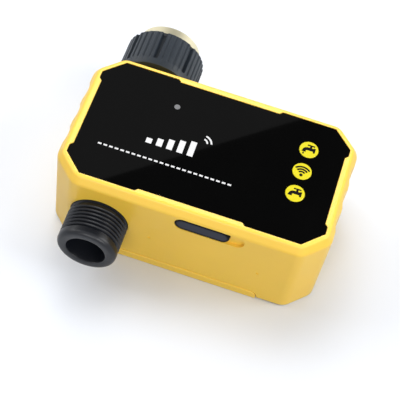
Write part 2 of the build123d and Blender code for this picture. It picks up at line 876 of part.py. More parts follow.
def make_drive_plate():
    """The steel plate that carries motor, end switches and valve under the deck."""
    corners = [Pos(x, y) * Circle(valve_post_radius) for x, y in valve_posts]
    for y in (-1, 1):
        end = y * (gearbox_size[1] / 2 - gearbox_plate)
        corners.append(Pos(pinion_x + gearbox_size[0] / 2, end) * Circle(2))
    for x, y in end_switch_places():
        corners.append(Pos(x, y) * Circle(end_switch_size[1] / 2))
    face = make_hull([edge for corner in corners for edge in corner.edges()])
    face -= Pos(flow_x, 0) * Circle(bonnet_radius + fit_gap)
    face -= Pos(pinion_x, 0) * Circle(motor_boss_radius + fit_gap)
    for x, y in valve_posts:
        face -= Pos(x, y) * Circle(valve_screw[0] + fit_gap)
    plate = Pos(0, 0, plate_z) * extrude(face, plate_thickness)
    for y in (-motor_screw_spread, motor_screw_spread):
        plate -= motor_screw(y, fit_gap / 4)
    return plate


def motor_screw(y, grow=0.0):
    """A countersunk screw from the plate down into the gearbox."""
    shank, head, height = small_screw
    top = plate_top
    cone = Pos(pinion_x, y, top - height / 2) * Cone(shank + grow, head + grow, height)
    return cone + cylinder(shank + grow, plate_z - gearbox_bore, top - height / 2, pinion_x, y)


def make_motor_screws():
    """The two screws of the gearbox."""
    return [motor_screw(y) for y in (-motor_screw_spread, motor_screw_spread)]


def make_gearbox():
    """The gearbox: end plates on spacers round a small gear stack."""
    width, depth, height = gearbox_size
    low = plate_z - height
    box = centred((width, depth, height), pinion_x, 0, low)
    box = fillet(box.edges().filter_by(Axis.Z), corner_soft)
    gap = (height - gearbox_plates * gearbox_plate) / (gearbox_plates - 1)
    stack = [size - 2 * gearbox_inset for size in (width, depth)]
    for i in range(gearbox_plates - 1):
        z = low + gearbox_plate + i * (gap + gearbox_plate)
        side = centred((width + overrun, depth + overrun, gap), pinion_x, 0, z)
        box -= side - centred((*stack, gap), pinion_x, 0, z)
    box += cylinder(motor_boss_radius, plate_z, plate_top - seat_gap, pinion_x)
    box -= cylinder(shaft_radius + running_gap, plate_z - gearbox_bore, plate_top, pinion_x)
    for y in (-motor_screw_spread, motor_screw_spread):
        box -= cylinder(small_screw[0], plate_z - gearbox_bore, plate_z + overrun, pinion_x, y)
    return box


def make_motor_can():
    """The motor can with flat sides and its end cap."""
    top = plate_z - gearbox_size[2]
    low = top - motor_length
    can = cylinder(motor_width / 2, low, top, pinion_x)
    can &= centred((gearbox_size[0], motor_width, motor_length), pinion_x, 0, low)
    return can + cylinder(motor_cap_radius, low - motor_cap, low, pinion_x)


def make_end_switches():
    """The two small switches that the gear's tab reaches at the ends of its travel."""
    switches = []
    for side in (-1, 1):
        turn = 180 + side * end_switch_turn()
        box = Rot(0, 0, turn) * centred(end_switch_size, end_switch_radius(), 0, 0)
        switches.append(Pos(flow_x, 0, plate_top) * box)
    return switches


def end_switch_turn():
    """The angle of an end switch from the middle of the tab's travel."""
    inner = end_switch_radius() - end_switch_size[0] / 2
    switch_turn = math.asin((end_switch_size[1] / 2 + seat_gap) / inner)
    tab_turn = math.asin(tab_width / 2 / inner)
    return valve_travel / 2 + math.degrees(switch_turn + tab_turn)


def end_switch_radius():
    """The distance of the end switches from the stem, just outside the teeth."""
    return gear_tip + end_switch_size[0] / 2 + seat_gap


def end_switch_places():
    """The middles of the two end switches."""
    turns = [math.radians(180 + side * end_switch_turn()) for side in (-1, 1)]
    reach = end_switch_radius()
    return [(flow_x + reach * math.cos(turn), reach * math.sin(turn)) for turn in turns]


def make_valve_screws():
    """Four long screws through valve, plate and posts."""
    length = plate_top - valve_flange_z + screw_bite / 2
    return [screw(valve_screw, length, Pos(x, y, valve_flange_z)) for x, y in valve_posts]


def make_battery_cells():
    """The two rechargeable cells."""
    cells = []
    for side in (-1, 1):
        cell = Rot(0, 90, 0) * Cylinder(cell_radius, cell_length)
        x = cell_left + cell_length / 2
        cells.append(Pos(x, side * cell_spread / 2, cell_height) * cell)
    return cells


def make_cell_straps():
    """The nickel strips across both ends of the cells."""
    heights = (cell_height - strap_width / 2, cell_height + strap_width / 2)
    half = cell_spread / 2 + strap_width / 2
    straps = []
    for x in (cell_left - strap_thickness, cell_left + cell_length):
        straps.append(block((x, x + strap_thickness), (-half, half), heights))
    return straps


def make_battery_cradle():
    """The tray that the cells snap into."""
    left, right = cradle_left + cradle_wall, cradle_right - cradle_wall
    half = cell_spread / 2 + cell_radius + cradle_wall
    tray = block((cradle_left, cradle_right), (-half, half), (cover_thickness, cradle_top))
    for side in (-1, 1):
        bed = Rot(0, 90, 0) * Cylinder(cell_radius + running_gap, right - left)
        tray -= Pos((left + right) / 2, side * cell_spread / 2, cell_height) * bed
    strap_z = cell_height - strap_width / 2 - fit_gap
    tray -= block((left, right), (-cell_spread / 2, cell_spread / 2), (strap_z, cradle_top + overrun))
    low = cover_thickness + cradle_boss_height
    high = low + cradle_ear[2]
    for x, y in cradle_ears:
        tray += centred(cradle_ear, x, y, low)
        tray -= cylinder(board_screw[0] + fit_gap, low - overrun, high + overrun, x, y)
    return tray


def make_cradle_screws():
    """The two screws of the cradle."""
    top = cover_thickness + cradle_boss_height + cradle_ear[2]
    turned = Rot(180, 0, 0)
    return [screw(board_screw, cradle_screw_length, Pos(x, y, top) * turned) for x, y in cradle_ears]


def lead(points, radius, bend):
    """A wire along straight runs that tangent arcs join."""
    path = FilletPolyline(*points, radius=bend)
    section = Plane(origin=path @ 0, z_dir=path % 0) * Circle(radius)
    return sweep(section, path=path)


def make_battery_leads():
    """Two wires from the end of the pack up to a plug housing under the board."""
    wires = []
    x = cradle_left - 2 * wire_radius
    for shift in (-wire_spread, wire_spread):
        y, end_y = connector_y + shift, connector_y + shift / 2
        points = [
            (x, y, cell_height - cell_radius / 2),
            (x, y, cradle_top),
            (connector_x, end_y, wire_z),
            (connector_x, end_y, board_z - plug_housing[2]),
        ]
        wires.append(lead(points, wire_radius, wire_bend))
    return wires


def make_motor_leads():
    """Two wires from the motor's end cap up to a plug housing under the board."""
    wires = []
    low = plate_z - gearbox_size[2] - motor_length - wire_radius - fit_gap
    side_x = pinion_x + motor_width / 2 + 3 * wire_radius
    for shift in (-wire_spread, wire_spread):
        end_y = shift / 2 - connector_y
        points = [
            (pinion_x + motor_cap_radius, shift, low),
            (side_x, shift, low),
            (side_x, shift - motor_width / 2, cradle_top),
            (connector_x, end_y, wire_z),
            (connector_x, end_y, board_z - plug_housing[2]),
        ]
        wires.append(lead(points, wire_radius, wire_bend))
    return wires


def make_inlet_nut():
    """The ribbed swivel nut: eight lobes of three ribs between deep grooves."""
    ribs_start = nut_start + nut_base_width
    blank = pipe(nut_radius, ribs_start, nut_end)
    nut = chamfer(blank.edges().group_by(Axis.Y)[-1], nut_end_chamfer)
    grooves = Sketch()
    rib_count = nut_lobes * nut_ribs_per_lobe
    for i in range(rib_count):
        angle = nut_turn - 90 + 360 / rib_count * i
        deep = i % nut_ribs_per_lobe == 0
        depth = nut_groove_depth if deep else nut_rib_depth
        width = nut_groove_width if deep else nut_rib_gap
        grooves += Rot(0, 0, angle) * Pos(nut_radius, 0) * Rectangle(2 * depth, width)
    place = Pos(flow_x, ribs_start, flow_z) * Rot(-90, 0, 0)
    nut -= extrude(place * grooves, nut_end - ribs_start)
    base = pipe(nut_base_radius, nut_start, ribs_start)
    nut += fillet(base.edges().filter_by(GeomType.CIRCLE).group_by(Axis.Y)[0], nut_base_round)
    inner_face = nut_start + nut_lip
    nut -= pipe(neck_radius + seat_gap, nut_start - overrun, inner_face + overrun)
    nut -= pipe(flange_radius + seat_gap, inner_face, insert_start)
    return nut - pipe(insert_radius, insert_start, nut_end + overrun)


def make_nut_insert():
    """The brass sleeve that screws onto the tap."""
    insert = pipe_ring(insert_radius, insert_bore, insert_start, insert_end)
    insert = chamfer(insert.edges().filter_by(GeomType.CIRCLE).group_by(Axis.Y)[-1], insert_chamfer)
    pocket_end = washer_start + washer_thickness + filter_thickness + running_gap
    return insert - pipe(washer_radius + flange_gap, insert_start - overrun, pocket_end)


def make_inlet_washer():
    """The flat rubber washer in the nut."""
    return pipe_ring(washer_radius, outlet_bore, washer_start, washer_start + washer_thickness)


def make_inlet_filter():
    """The strainer disc on the washer."""
    start = washer_start + washer_thickness
    end = start + filter_thickness
    strainer = pipe_ring(washer_radius, washer_radius - filter_frame, start, end)
    return strainer + pipe(washer_radius - filter_frame, start + filter_thickness / 2, end)


def make_button_cap(y):
    """A button that comes up through the deck and the panel from below."""
    top = panel_top + button_proud
    low = deck_z - running_gap
    cap = cylinder(button_radius, low, top, button_x, y)
    cap = fillet(cap.edges().filter_by(GeomType.CIRCLE).group_by(Axis.Z)[-1], button_round)
    cap += cylinder(button_flange_radius, low - button_flange_height, low, button_x, y)
    cap += cylinder(button_post_radius, plunger_top(), low, button_x, y)
    half = ring_section / 2 + ring_slack
    z = deck_z + deck_thickness / 2
    inner = button_radius - ring_section
    return cap - ring(button_radius + overrun, inner, z - half, z + half, button_x, y)


def plunger_top():
    """Where a button meets the plunger of its switch."""
    return board_top + switch_size[2] + plunger_rise


def make_button_ring(y):
    """The sealing ring round a button."""
    outer = button_radius + button_hole_gap - running_gap
    z, half = deck_z + deck_thickness / 2, ring_section / 2
    return ring(outer, button_radius - ring_section, z - half, z + half, button_x, y)


def make_switch_plunger(y):
    """The plunger of a tact switch."""
    bottom = board_top + switch_size[2] - plunger_sunk
    return cylinder(button_post_radius, bottom, plunger_top(), button_x, y)


def make_port_plug():
    """The rubber plug of the charging port, with the tongue that grips in the socket."""
    near = -case_width / 2 + fit_gap / 2
    far = near + plug_thickness
    plug = pill(plug_length, plug_height, near, far)
    plug = fillet(plug.edges().group_by(Axis.Y)[0], plug_round)
    width, depth, height = plug_tongue
    return plug + pill(width, height, far, far + depth)


nodes = {
    "upper_case": make_upper_case(),
    "back_cover": make_back_cover(),
    "cover_gasket": make_cover_gasket(),
    "cover_screws": make_cover_screws(),
    "front_panel": make_front_panel(),
    "panel_tape": make_panel_tape(),
    "light_pipe": make_light_pipe(),
    "status_light": make_status_light(),
    "main_board": make_main_board(),
    "radio_module": make_radio_module(),
    "button_switches": make_button_switches(),
    "board_components": make_board_components(),
    "lead_connectors": make_lead_connectors(),
    "board_screws": make_board_screws(),
    "charge_board": make_charge_board(),
    "charge_socket": make_charge_socket(),
    "board_header": make_board_header(),
    "charge_screws": make_charge_screws(),
    "valve_body": make_valve_body(),
    "outlet_nipple": make_outlet_nipple(),
    "inlet_tailpiece": make_inlet_tailpiece(),
    "neck_rings": make_neck_rings(),
    "wall_seals": make_wall_seals(),
    "ball_seats": make_ball_seats(),
    "valve_ball": make_valve_ball(),
    "ball_stem": make_ball_stem(),
    "stem_rings": make_stem_rings(),
    "thrust_washer": make_thrust_washer(),
    "valve_gear": make_valve_gear(),
    "gear_screw": make_gear_screw(),
    "drive_pinion": make_drive_pinion(),
    "gearbox_shaft": make_gearbox_shaft(),
    "drive_plate": make_drive_plate(),
    "motor_screws": make_motor_screws(),
    "gearbox": make_gearbox(),
    "motor_can": make_motor_can(),
    "end_switches": make_end_switches(),
    "valve_screws": make_valve_screws(),
    "battery_cells": make_battery_cells(),
    "cell_straps": make_cell_straps(),
    "battery_cradle": make_battery_cradle(),
    "cradle_screws": make_cradle_screws(),
    "battery_leads": make_battery_leads(),
    "motor_leads": make_motor_leads(),
    "inlet_nut": make_inlet_nut(),
    "nut_insert": make_nut_insert(),
    "inlet_washer": make_inlet_washer(),
    "inlet_filter": make_inlet_filter(),
    "port_plug": make_port_plug(),
}
for name, place in button_places.items():
    nodes[f"button_{name}"] = make_button_cap(place)
    nodes[f"button_ring_{name}"] = make_button_ring(place)
    nodes[f"switch_plunger_{name}"] = make_switch_plunger(place)

os.makedirs("parts", exist_ok=True)
for name, shape in nodes.items():
    solids = shape if isinstance(shape, list) else [shape]
    kept = [solid for item in solids for solid in item.solids()]
    export_step(kept[0] if len(kept) == 1 else Compound(kept), f"parts/{name}.step")
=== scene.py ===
# %% [markdown]
# # A tap timer, dressed for its portrait
# The solids come from a CAD model that is already at its real size, in metres. This lesson gives
# them camera, light and finishes, and models the few forms that a CAD file leaves plain:
# the two pipe threads, the ribs of the nut, the strainer, the screw heads and the printed marks.

# %% Load the frame
import bmesh
import bpy
import json
import math
from mathutils import Matrix, Vector


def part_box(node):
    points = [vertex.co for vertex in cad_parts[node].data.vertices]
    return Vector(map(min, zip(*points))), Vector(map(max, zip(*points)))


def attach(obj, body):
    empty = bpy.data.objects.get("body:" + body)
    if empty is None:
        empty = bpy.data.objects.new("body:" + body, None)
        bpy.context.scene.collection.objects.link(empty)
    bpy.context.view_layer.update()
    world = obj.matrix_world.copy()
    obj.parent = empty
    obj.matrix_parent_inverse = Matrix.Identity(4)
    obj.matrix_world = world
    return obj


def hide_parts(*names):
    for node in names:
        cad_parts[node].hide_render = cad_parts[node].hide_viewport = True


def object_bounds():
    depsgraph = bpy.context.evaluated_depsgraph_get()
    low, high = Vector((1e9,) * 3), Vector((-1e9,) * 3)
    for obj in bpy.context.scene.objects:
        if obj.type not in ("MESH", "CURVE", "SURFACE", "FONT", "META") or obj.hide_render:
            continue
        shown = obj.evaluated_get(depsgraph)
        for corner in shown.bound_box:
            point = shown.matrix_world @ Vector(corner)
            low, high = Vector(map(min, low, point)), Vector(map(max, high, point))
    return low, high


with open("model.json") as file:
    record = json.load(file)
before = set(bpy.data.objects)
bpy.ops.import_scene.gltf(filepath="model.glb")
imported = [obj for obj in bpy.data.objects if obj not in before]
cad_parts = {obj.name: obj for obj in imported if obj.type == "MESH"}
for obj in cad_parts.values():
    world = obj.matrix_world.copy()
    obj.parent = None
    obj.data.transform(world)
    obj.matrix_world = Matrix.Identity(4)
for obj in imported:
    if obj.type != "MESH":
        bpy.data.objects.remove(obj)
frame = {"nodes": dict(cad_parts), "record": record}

cad_low, cad_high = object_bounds()
nodes = frame["nodes"]
mm = 0.001
print("CAD nodes:", len(nodes), "size in mm:", [round(v / mm, 1) for v in cad_high - cad_low])

# %% [markdown]
# ## The camera
# The photo was taken with a long lens from above the front, with the camera rolled so that the
# case runs down to the right. The place, the turn and the lens were fitted to the edges of the
# case, so they are plain numbers here. A long lens keeps the parallel edges nearly parallel.

# %% Camera
camera_data = bpy.data.cameras.new("portrait_camera")
camera = bpy.data.objects.new("portrait_camera", camera_data)
bpy.context.scene.collection.objects.link(camera)
camera.location = (0.035486, -0.315513, 0.496856)
camera.rotation_euler = (0.565142, -0.118968, 0.296757)
camera_data.sensor_width = 36.0
camera_data.lens = 116.1645
camera_data.clip_start, camera_data.clip_end = 0.02, 20.0
bpy.context.scene.camera = camera
print("camera distance from the case:", round(camera.location.length, 3), "m")

# %% [markdown]
# ## Light and floor
# The photo is a shop picture: a white ground that only keeps a soft shadow close to the case, and
# broad even light from all round, a little stronger on the right. One lamp could light the front
# well, but six big, weak ones give the photo's even bevels and its soft shadow. The world is
# white to the camera and to mirrors, and a weak fill as a source of light.

# %% World
scene = bpy.context.scene
scene.view_settings.view_transform = "Standard"
world = bpy.data.worlds.new("white_studio")
scene.world = world
world.use_nodes = True
tree = world.node_tree
tree.nodes.clear()
world_out = tree.nodes.new("ShaderNodeOutputWorld")
seen = tree.nodes.new("ShaderNodeBackground")
seen.inputs["Color"].default_value = (1, 1, 1, 1)
lighting = tree.nodes.new("ShaderNodeBackground")
lighting.inputs["Color"].default_value = (0.94, 0.96, 1.0, 1)
lighting.inputs["Strength"].default_value = 0.25


def split_by_ray(tree, unseen, shown, out):
    """Shows one shader to the camera, to mirrors and through glass, and another to soft light."""
    rays = tree.nodes.new("ShaderNodeLightPath")
    socket = rays.outputs["Is Camera Ray"]
    for kind in ("Is Glossy Ray", "Is Transmission Ray"):
        either = tree.nodes.new("ShaderNodeMath")
        either.operation = "MAXIMUM"
        tree.links.new(socket, either.inputs[0])
        tree.links.new(rays.outputs[kind], either.inputs[1])
        socket = either.outputs[0]
    blend = tree.nodes.new("ShaderNodeMixShader")
    tree.links.new(socket, blend.inputs[0])
    tree.links.new(unseen.outputs[0], blend.inputs[1])
    tree.links.new(shown.outputs[0], blend.inputs[2])
    tree.links.new(blend.outputs[0], out.inputs[0])


split_by_ray(tree, lighting, seen, world_out)
print("world fill:", lighting.inputs["Strength"].default_value)


# %% Lamps
def soft_box(name, place, aim, size, power):
    """A square area lamp that looks from its place to a point."""
    lamp = bpy.data.lights.new(name, "AREA")
    lamp.shape = "SQUARE"
    lamp.size = size
    lamp.energy = power
    box = bpy.data.objects.new(name, lamp)
    box.location = place
    box.rotation_euler = (Vector(aim) - Vector(place)).to_track_quat("-Z", "Y").to_euler()
    scene.collection.objects.link(box)
    return box


def light_only(lamp, group, piece, state="INCLUDE"):
    """Makes a lamp light one object only, or with EXCLUDE every object but that one."""
    receivers = bpy.data.collections.new(group)
    receivers.objects.link(piece)
    receivers.collection_objects[0].light_linking.link_state = state
    lamp.light_linking.receiver_collection = receivers
    print(lamp.name, "lights only" if state == "INCLUDE" else "leaves out", piece.name)


case_middle = (0, 0, 0.02)
lamp_plan = {
    "front_lamp": ((-0.10, -0.95, 0.55), 0.5, 3.2),
    "front_right_lamp": ((0.56, -0.76, 0.55), 0.5, 4.2),
    "right_lamp": ((1.20, 0.14, 0.92), 0.85, 9.5),
    "left_lamp": ((-1.20, 0.14, 0.92), 0.85, 8.5),
    "high_lamp": ((0.00, 0.25, 1.10), 0.8, 1.0),
    "back_lamp": ((-0.10, 0.75, 0.80), 0.8, 2.8),
}
lamps = {}
for name, (place, size, power) in lamp_plan.items():
    lamps[name] = soft_box(name, place, case_middle, size, power)
print("lamps and their watts:", {name: plan[2] for name, plan in lamp_plan.items()})

# %% [markdown]
# The floor is white paper. It would throw much light up on the walls, which the photo doesn't
# show, so soft light meets a darker paper than the camera and the mirrors do.

# %% Floor
bm = bmesh.new()
bmesh.ops.create_grid(bm, x_segments=1, y_segments=1, size=3.0)
floor_mesh = bpy.data.meshes.new("floor")
bm.to_mesh(floor_mesh)
bm.free()
floor = bpy.data.objects.new("floor", floor_mesh)
scene.collection.objects.link(floor)
paper = bpy.data.materials.new("white_paper")
paper.use_nodes = True
tree = paper.node_tree
tree.nodes.clear()
paper_out = tree.nodes.new("ShaderNodeOutputMaterial")
shown = tree.nodes.new("ShaderNodeBsdfDiffuse")
shown.inputs["Color"].default_value = (0.85, 0.88, 0.935, 1)
unseen = tree.nodes.new("ShaderNodeBsdfDiffuse")
unseen.inputs["Color"].default_value = (0.2, 0.2, 0.2, 1)
split_by_ray(tree, unseen, shown, paper_out)
floor_mesh.materials.append(paper)
print("paper as seen:", [round(v, 3) for v in shown.inputs["Color"].default_value[:3]])

# %% [markdown]
# The photo's shadow lies mostly in front of the case, while its front wall is well lit. That takes
# two tricks: the right front lamp is kept off the paper with a flag, and a lamp behind the case on
# the left lights the paper alone. Light linking does both with a collection of receivers.

# %% Paper lamp and a flag
light_only(lamps["front_right_lamp"], "kept_off_front_right_lamp", floor, "EXCLUDE")
paper_lamp = soft_box("paper_lamp", (-0.35, 0.50, 1.00), (0, 0, 0), 0.7, 4.8)
light_only(paper_lamp, "lit_by_paper_lamp", floor)

# %% [markdown]
# ## Cards for the glossy panel
# A black mirror shows what hangs over it. In the photo most of the panel is nearly black and a
# lighter patch with a straight, slanting edge lies over its left part. That is how a product
# photographer would do it too: a dark card overhead, and a lighter one beside it. The cards are
# seen by mirror rays only, so they neither shade the case nor show in the picture. The slanting
# edge was read off the photo as two points on the panel, in millimetres.


# %% Reflection cards
card_height = 0.55
slanting_edge = ((31.8, 30.3), (0.9, 3.3))
lighter_side = (-40, 20)
dark_grey, light_grey = 0.02, 0.2


def card(name, corners, brightness):
    """A flat card overhead that only mirrors see."""
    bm = bmesh.new()
    bm.faces.new([bm.verts.new(corner) for corner in corners])
    mesh = bpy.data.meshes.new(name)
    bm.to_mesh(mesh)
    bm.free()
    sheet = bpy.data.objects.new(name, mesh)
    scene.collection.objects.link(sheet)
    finish = bpy.data.materials.new(name)
    finish.use_nodes = True
    finish.node_tree.nodes.clear()
    out = finish.node_tree.nodes.new("ShaderNodeOutputMaterial")
    light = finish.node_tree.nodes.new("ShaderNodeEmission")
    light.inputs["Color"].default_value = (brightness, brightness, brightness, 1)
    finish.node_tree.links.new(light.outputs[0], out.inputs[0])
    mesh.materials.append(finish)
    sheet.visible_camera = sheet.visible_diffuse = sheet.visible_shadow = False
    sheet.visible_transmission = sheet.visible_volume_scatter = False
    return sheet


def mirrored(x, y, height):
    """Where the camera's view of a panel point lands on a level plane, after the mirror."""
    point = Vector((x * mm, y * mm, cad_high.z))
    ray = point - camera.location
    ray.z = -ray.z
    return point + ray * ((height - point.z) / ray.z)


edge_a, edge_b = (mirrored(x, y, card_height) for x, y in slanting_edge)
along = (edge_b - edge_a).normalized()
away = Vector((-along.y, along.x, 0))
if (mirrored(*lighter_side, card_height) - edge_a).dot(away) < 0:
    away = -away
dark_height = card_height + 0.01
dark_corners = [(x, y, dark_height) for x, y in ((-0.4, 0.0), (0.4, 0.0), (0.4, 0.6), (-0.4, 0.6))]
card("dark_card", dark_corners, dark_grey)
start, end = edge_a - along * 0.6, edge_a + along * 0.9
card("light_card", [start, end, end + away * 0.5, start + away * 0.5], light_grey)
print("card edge:", [round(v, 3) for v in (*edge_a, *edge_b)])

# %% [markdown]
# ## A lamp for the rim
# In the photo the panel and its keys are black and clean while the rim round them has a pale
# sheen, so one more lamp hangs where level faces mirror it. Light linking keeps it on the case:
# only the objects in its receiver collection are lit by it.

# %% Rim lamp
rim_lamp = soft_box("rim_lamp", (-0.035, 0.28, 0.46), (0, 0, 0.048), 0.3, 1.2)
light_only(rim_lamp, "lit_by_rim_lamp", nodes["upper_case"])

# %% [markdown]
# ## Finishes
# Moulded plastic is never one flat colour: the tool leaves a fine grain, the gloss wanders a
# little, and edges that hands touch get smoother. One helper builds that from noise in Object
# coordinates, so the grain stays put on the piece and has its real scale. Numbers that are the
# same all over a piece are set on the shader's own sockets.


# %% A helper for finishes
def finish(name, colour, roughness, tint=0.06, grain=900.0, relief=0.02, spread=0.06, metal=0.0):
    """A procedural finish: slow colour drift, fine grain relief and gloss that wanders."""
    material = bpy.data.materials.new(name)
    material.use_nodes = True
    nodes_in, links = material.node_tree.nodes, material.node_tree.links
    shader = nodes_in["Principled BSDF"]
    shader.inputs["Metallic"].default_value = metal
    place = nodes_in.new("ShaderNodeTexCoord")
    drift = nodes_in.new("ShaderNodeTexNoise")
    drift.inputs["Scale"].default_value = 35.0
    drift.inputs["Detail"].default_value = 3.0
    grit = nodes_in.new("ShaderNodeTexNoise")
    grit.inputs["Scale"].default_value = grain
    grit.inputs["Detail"].default_value = 2.0
    links.new(place.outputs["Object"], drift.inputs["Vector"])
    links.new(place.outputs["Object"], grit.inputs["Vector"])
    ramp = nodes_in.new("ShaderNodeValToRGB")
    low = [max(0.0, c * (1 - tint)) for c in colour]
    high = [min(1.0, c * (1 + tint)) for c in colour]
    ramp.color_ramp.elements[0].position, ramp.color_ramp.elements[0].color = 0.3, (*low, 1)
    ramp.color_ramp.elements[1].position, ramp.color_ramp.elements[1].color = 0.7, (*high, 1)
    links.new(drift.outputs["Fac"], ramp.inputs["Fac"])
    links.new(ramp.outputs["Color"], shader.inputs["Base Color"])
    gloss = nodes_in.new("ShaderNodeMapRange")
    gloss.inputs["To Min"].default_value = max(0.02, roughness - spread)
    gloss.inputs["To Max"].default_value = min(1.0, roughness + spread)
    links.new(drift.outputs["Fac"], gloss.inputs["Value"])
    links.new(gloss.outputs["Result"], shader.inputs["Roughness"])
    bump = nodes_in.new("ShaderNodeBump")
    bump.inputs["Strength"].default_value = relief
    bump.inputs["Distance"].default_value = 0.0004
    links.new(grit.outputs["Fac"], bump.inputs["Height"])
    links.new(bump.outputs["Normal"], shader.inputs["Normal"])
    print("finish", name, "with roughness", roughness)
    return material


# %% [markdown]
# ### The yellow case
# The case is satin moulded plastic in a warm yellow, slightly translucent as such plastic is. A
# little subsurface light keeps its shaded side warm instead of grey.

# %% Case finish
case_yellow = finish("case_yellow", (0.94, 0.60, 0.07), 0.36, tint=0.03, grain=1400.0, relief=0.05)
shader = case_yellow.node_tree.nodes["Principled BSDF"]
shader.inputs["Subsurface Weight"].default_value = 0.12
shader.inputs["Subsurface Radius"].default_value = (1.0, 0.55, 0.12)
shader.inputs["Subsurface Scale"].default_value = 0.002

# %% [markdown]
# ### Panel, keys and dark fittings
# The panel is a polished acrylic plate, so it gets low roughness and no grain. The keys are the
# same polish in clear yellow. The outlet is glossy black nylon, and the nut a duller slate grey.

# %% Panel and fitting finishes
panel_black = finish("panel_black", (0.002, 0.002, 0.002), 0.03, tint=0.1, relief=0.0, spread=0.01)
key_yellow = finish("key_yellow", (0.86, 0.75, 0.012), 0.22, tint=0.02, grain=2000.0, relief=0.01)
fitting_black = finish("fitting_black", (0.006, 0.007, 0.010), 0.3, tint=0.15, relief=0.05)
fitting_slate = finish("fitting_slate", (0.022, 0.031, 0.043), 0.48, tint=0.12, relief=0.08)
plug_rubber = finish("plug_rubber", (0.046, 0.050, 0.068), 0.65, tint=0.1, relief=0.06)
seal_rubber = finish("seal_rubber", (0.02, 0.02, 0.02), 0.6, tint=0.2, relief=0.06)
for material, level in ((panel_black, 0.4), (fitting_black, 0.35), (plug_rubber, 0.1)):
    material.node_tree.nodes["Principled BSDF"].inputs["Specular IOR Level"].default_value = level
    print(material.name, "mirrors at level", level)

# %% [markdown]
# The plug of the charging port sits in a pocket. The shadow in the gap round it is painted into
# its colour as a dark line. Two things darken it, both painted shade: how far a spot lies behind
# the face, along Y, and how near it is to the outline. The outline is a slot, so the distance is
# taken from the slot's middle line.

# %% A painted shadow line round the plug
plug_low, plug_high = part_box("port_plug")
plug_middle = (plug_low + plug_high) / 2
half_height = (plug_high.z - plug_low.z) / 2
half_straight = (plug_high.x - plug_low.x) / 2 - half_height
shade_line_start, shade_line_full = half_height - 1.7 * mm, half_height - 0.9 * mm
shade_side_start, shade_side_full = plug_low.y + 0.3 * mm, plug_low.y + 0.6 * mm
end_squeeze, darkest = 0.87, 0.06
tree = plug_rubber.node_tree


def math_node(operation, first, second=0.0):
    """A math node on two values, each a number or a socket."""
    node = tree.nodes.new("ShaderNodeMath")
    node.operation = operation
    for slot, value in zip(node.inputs, (first, second)):
        if isinstance(value, (int, float)):
            slot.default_value = value
        else:
            tree.links.new(value, slot)
    return node.outputs[0]


def fading(value, first, last):
    """A factor that falls from 1 to nearly 0 between two values."""
    node = tree.nodes.new("ShaderNodeMapRange")
    node.inputs["From Min"].default_value, node.inputs["From Max"].default_value = first, last
    node.inputs["To Min"].default_value, node.inputs["To Max"].default_value = 1.0, darkest
    tree.links.new(value, node.inputs["Value"])
    return node.outputs["Result"]


split = tree.nodes.new("ShaderNodeSeparateXYZ")
place = next(node for node in tree.nodes if node.type == "TEX_COORD")
tree.links.new(place.outputs["Object"], split.inputs[0])
beside = math_node("ABSOLUTE", math_node("SUBTRACT", split.outputs["X"], plug_middle.x))
past_straight = math_node("MAXIMUM", math_node("SUBTRACT", beside, half_straight), 0.0)
past_end = math_node("MULTIPLY", past_straight, end_squeeze)
above = math_node("SUBTRACT", split.outputs["Z"], plug_middle.z)
squares = [math_node("MULTIPLY", leg, leg) for leg in (past_end, above)]
reach = math_node("SQRT", math_node("ADD", *squares))
# painted shade: darker towards the plug's outline, where the gap round it lies in shadow
painted_shade_line = fading(reach, shade_line_start, shade_line_full)
# painted shade: darker behind the plug's face, on its sides in the shadow of the pocket
depth = fading(split.outputs["Y"], shade_side_start, shade_side_full)
# painted shade: the plug's base colour is multiplied by both shade factors
painted_shade_scale = tree.nodes.new("ShaderNodeVectorMath")
painted_shade_scale.operation = "SCALE"
base = tree.nodes["Principled BSDF"].inputs["Base Color"]
tree.links.new(base.links[0].from_socket, painted_shade_scale.inputs[0])
tree.links.new(math_node("MULTIPLY", painted_shade_line, depth), painted_shade_scale.inputs["Scale"])
tree.links.new(painted_shade_scale.outputs[0], base)
print("plug outline in mm:", round(half_straight / mm, 2), round(half_height / mm, 2))

# %% [markdown]
# ### Metals
# Brass and steel parts are turned or stamped, so their grain runs in fine lines. Stretching the
# grit noise along one axis gives such lines; the metallic value does the rest.


# %% Metal finishes
def brushed(name, colour, roughness, stretch):
    """A metal whose grain is drawn out along an axis."""
    material = finish(name, colour, roughness, tint=0.08, grain=600.0, relief=0.12, metal=1.0)
    tree = material.node_tree
    mapping = tree.nodes.new("ShaderNodeMapping")
    mapping.inputs["Scale"].default_value = stretch
    place = next(node for node in tree.nodes if node.type == "TEX_COORD")
    grit = [node for node in tree.nodes if node.type == "TEX_NOISE"][1]
    tree.links.new(place.outputs["Object"], mapping.inputs["Vector"])
    tree.links.new(mapping.outputs["Vector"], grit.inputs["Vector"])
    return material


brass = brushed("brass", (0.74, 0.69, 0.50), 0.55, (0.15, 3.0, 0.15))
steel = brushed("steel", (0.62, 0.62, 0.64), 0.3, (0.3, 0.3, 3.0))
nickel = brushed("nickel", (0.72, 0.70, 0.66), 0.28, (3.0, 0.3, 0.3))

# %% [markdown]
# ### Pieces inside the case
# They are seen only through the outlet or when someone takes the model apart, but each still
# gets its own finish: green solder mask, black epoxy, natural nylon and shrink wrap.

